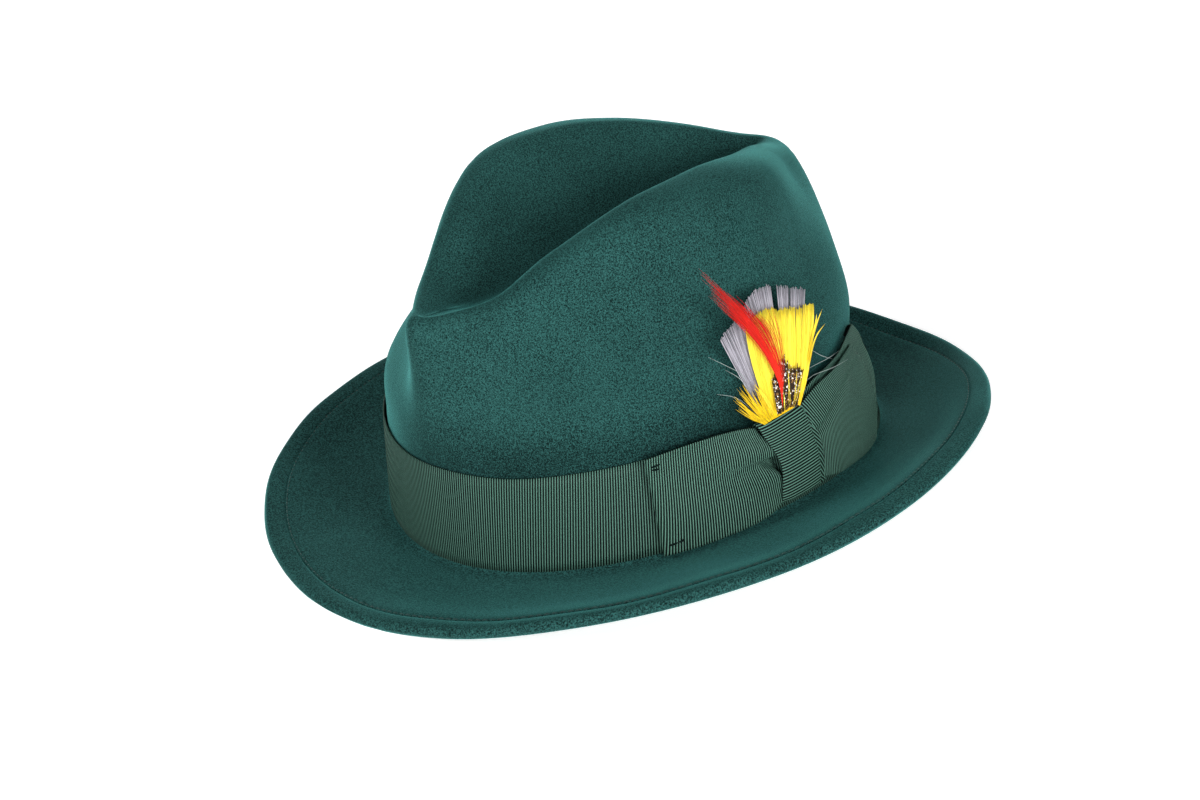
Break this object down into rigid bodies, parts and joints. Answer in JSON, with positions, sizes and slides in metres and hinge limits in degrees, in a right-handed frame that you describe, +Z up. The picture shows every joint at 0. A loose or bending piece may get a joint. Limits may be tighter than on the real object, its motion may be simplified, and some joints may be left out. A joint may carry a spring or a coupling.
{
  "type": "felt hat",
  "caption": "Soft felt hat with a centre dent, pinched front, stitched turned up brim, ribbed ribbon band, flat side bow and feather spray.",
  "frame": {"origin": "middle of the hat's outline on the surface that its brim rests on", "axes": "+Z up, -Y towards the front of the hat, +X towards the wearer's left, where the bow is"},
  "size_m": [0.265, 0.301, 0.1319],
  "materials": {
    "felt": "dense wool felt in dark teal green with a short soft nap",
    "ribbon": "ribbed ribbon in grey olive green with a low sheen",
    "feather_grey": "cut grey feather vane, fine barbs",
    "feather_yellow": "dyed bright yellow feather vane, fine barbs",
    "feather_speckled": "dark brown barbs with gold and white spots",
    "feather_red": "dyed bright red hackle, loose barbs"
  },
  "bodies": {
    "root": {"felt_body": "felt", "hat_band": "ribbon", "bow_front_loop": "ribbon", "bow_back_loop": "ribbon", "bow_knot": "ribbon", "feather_grey_back": "feather_grey", "feather_grey_left": "feather_grey", "feather_yellow": "feather_yellow", "feather_tuft": "feather_yellow", "feather_speckled": "feather_speckled", "feather_red": "feather_red"}
  },
  "joints": []
}
